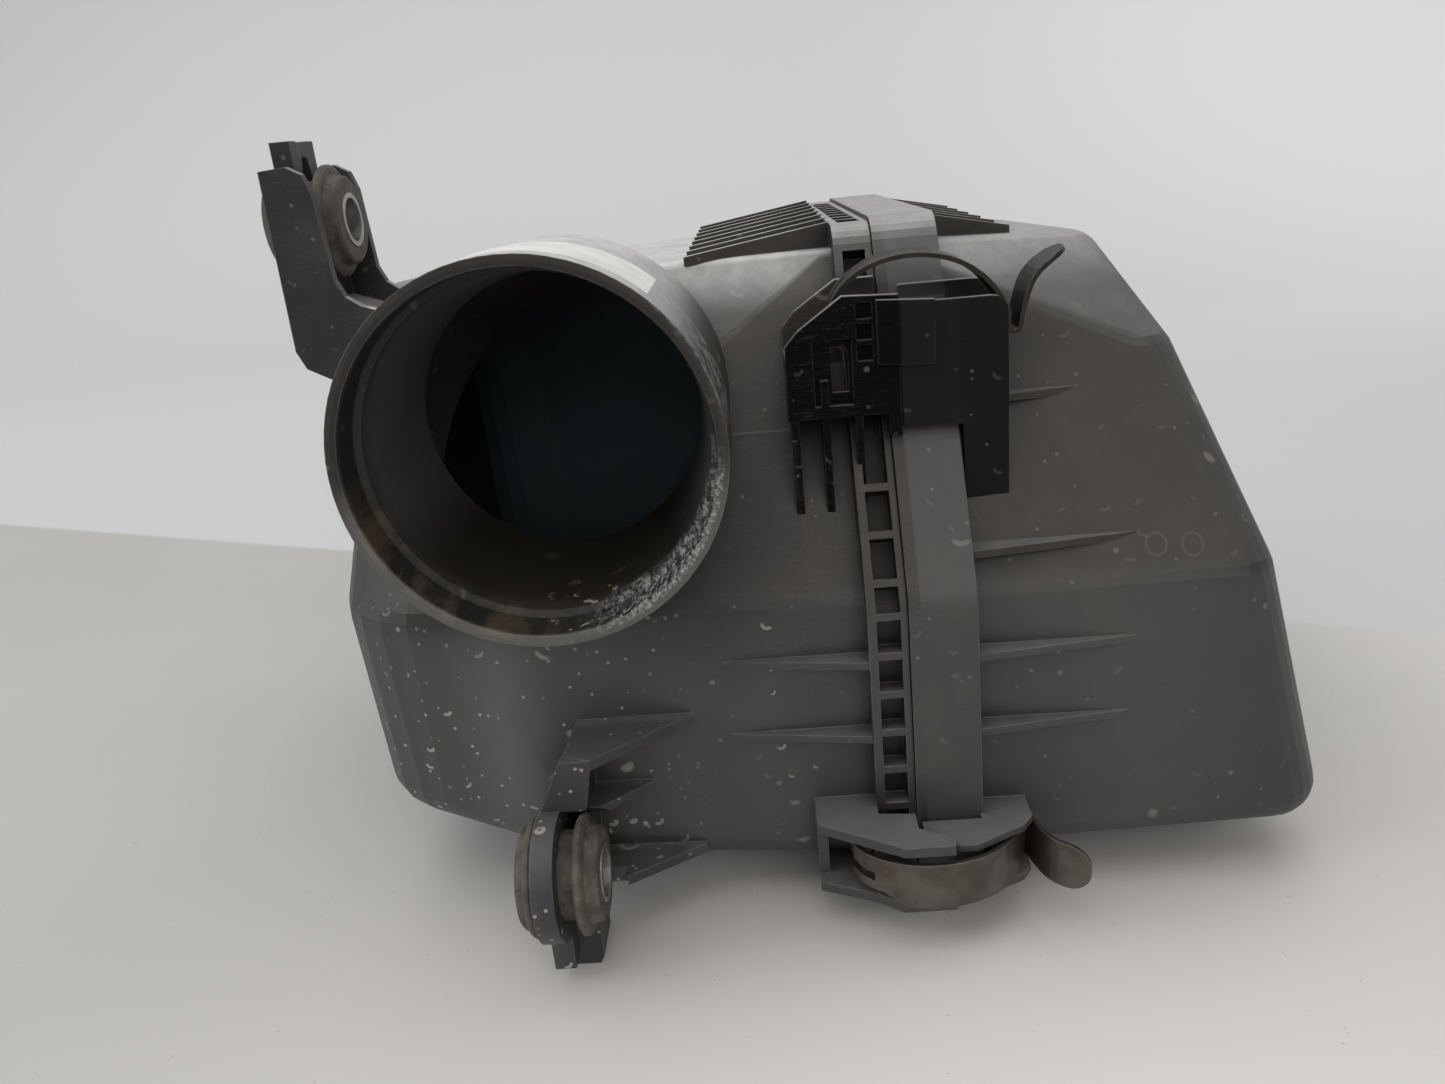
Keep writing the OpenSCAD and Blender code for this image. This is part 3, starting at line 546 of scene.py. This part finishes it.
# ---------------------------------------------------------------- floor and backdrop
def stage_mesh(name, verts, faces, material):
    mesh = bpy.data.meshes.new(name)
    mesh.from_pydata(verts, [], faces)
    mesh.materials.append(material)
    obj = bpy.data.objects.new(name, mesh)
    scene.collection.objects.link(obj)
    return obj


SEAM_SLOPE, SEAM_Y = 0.403, (0.246, 0.252)


def floor_material():
    """Pale floor: slightly warm near, cooler behind a soft seam, with a little grit, painted light on the
    near right and under the object, and painted shade far in front.
    """
    m = bpy.data.materials.new("pale_floor")
    n = Nodes(m)
    x, y = n.split(n.coord)[:2]
    cloud = n.noise(3, 4, 0.6)
    near = n.mix(n.step(cloud, 0.3, 0.7), (0.455, 0.449, 0.442), (0.50, 0.494, 0.486))
    seam = n.step(n.plus(y, n.mul(x, SEAM_SLOPE)), *SEAM_Y)
    # Painted light: paler near floor on the right.
    near = n.mix(n.mul(n.step(x, 0.12, 0.45), 0.9), near, (0.88, 0.87, 0.855))
    base = n.mix(seam, near, (0.60, 0.62, 0.635))
    # Painted shade: darker floor far in front of the object.
    base = n.mix(n.mul(n.step(y, -0.20, -0.6), 0.8), base, (0.28, 0.28, 0.28))
    # Painted light: paler under the object, where the photo's shadows are soft.
    middle = n.vmath("DISTANCE", n.coord, (0.07, -0.10, FLOOR_Z))
    base = n.mix(n.step(middle, 0.26, 0.03), base, (0.74, 0.725, 0.71))
    grit = n.mul(n.specks(160, 0.10, 0.05), n.step(n.noise(12, 3, 0.6), 0.45, 0.65))
    grit = n.most(grit, n.mul(n.specks(420, 0.16, 0.05, shift=(2, 3, 0)), 0.7))
    base = n.mix(n.mul(grit, n.mul(n.minus(1.0, seam), 0.6)), base, (0.26, 0.24, 0.22))
    shader = n.shader(base, n.plus(0.50, n.mul(cloud, 0.15)), n.bump((n.noise(500, 3, 0.6), 0.02 * MM)),
                      Specular_IOR_Level=0.3)
    # The backdrop glows a little, so that it stays pale behind the lights' reach.
    far = n.plus(n.plus(0.03, n.mul(n.step(y, 0.8, 1.9), 0.12)), n.mul(n.step(x, 0.1, 1.1), 0.15))
    glow = n.mul(n.plus(far, n.mul(n.step(x, 0.0, -1.2), 0.03)), n.step(y, 0.35, 0.8))
    n.put(shader.inputs["Emission Strength"], glow)
    return m


def sweep(half, near, bend, radius, height, steps):
    """Floor that curves up into a wall behind the object."""
    profile = [(near, 0.0)]
    for k in range(steps + 1):
        turn = math.radians(90 * k / steps)
        profile.append((bend + radius * math.sin(turn), radius * (1 - math.cos(turn))))
    profile.append((bend + radius, height))
    verts = [(side * half, y, FLOOR_Z + z) for y, z in profile for side in (-1, 1)]
    faces = [(2 * k, 2 * k + 1, 2 * k + 3, 2 * k + 2) for k in range(len(profile) - 1)]
    floor = stage_mesh("floor", verts, faces, floor_material())
    for polygon in floor.data.polygons:
        polygon.use_smooth = True


sweep(half=6.0, near=-6.0, bend=1.0, radius=1.2, height=4.0, steps=24)


# ---------------------------------------------------------------- light
def area(name, place, target, size_x, size_y, power, color):
    data = bpy.data.lights.new(name, "AREA")
    data.shape = "RECTANGLE"
    data.size, data.size_y = size_x, size_y
    data.energy = power
    data.color = color
    obj = bpy.data.objects.new(name, data)
    obj.location = place
    obj.rotation_mode = "QUATERNION"
    obj.rotation_quaternion = (Vector(target) - Vector(place)).to_track_quat("-Z", "Y")
    scene.collection.objects.link(obj)
    return obj


area("ceiling", (-0.1, 0.15, 1.6), (0.05, 0.1, 0), 2.6, 2.0, 18, (1.0, 0.99, 0.975))
area("window", (-1.4, -0.3, 0.5), (0, 0.08, 0), 0.9, 1.2, 7, (0.95, 0.98, 1.0))
area("front", (0.5, -1.5, 0.7), (0.05, -0.1, -0.12), 1.8, 1.0, 8, (1.0, 0.98, 0.96))


def world_light():
    """Pale wall behind and above, a warmer ceiling in front, a dim room in front below it."""
    world = bpy.data.worlds.new("studio")
    scene.world = world
    world.use_nodes = True
    tree = world.node_tree
    out = tree.nodes["Background"]
    n = Nodes.__new__(Nodes)
    n.tree = tree
    y, z = n.split(tree.nodes.new("ShaderNodeTexCoord").outputs["Generated"])[1:]
    front = n.mix(n.step(z, 0.02, 0.6), (0.12, 0.12, 0.12), (0.46, 0.425, 0.39))
    n.put(out.inputs["Color"], n.mix(n.step(y, -0.25, 0.35), front, (0.64, 0.66, 0.68)))
    out.inputs["Strength"].default_value = 1.0


world_light()


# ---------------------------------------------------------------- camera
def camera():
    """Camera at the photo's viewing angle: low in front of the spigot, looking slightly down."""
    right = Vector((0.9957, 0.0195, -0.0905)).normalized()
    forward = Vector((-0.0493, 0.939, -0.3403)).normalized()
    up = right.cross(forward).normalized()
    right = forward.cross(up)
    data = bpy.data.cameras.new("camera")
    data.sensor_width = 36
    data.lens = 27.06
    data.clip_start, data.clip_end = 0.01, 50
    obj = bpy.data.objects.new("camera", data)
    turn = Matrix((right, up, -forward)).transposed().to_4x4()
    turn.translation = Vector((0.04765, -0.20537, 0.05466))
    obj.matrix_world = turn
    scene.collection.objects.link(obj)
    scene.camera = obj


camera()
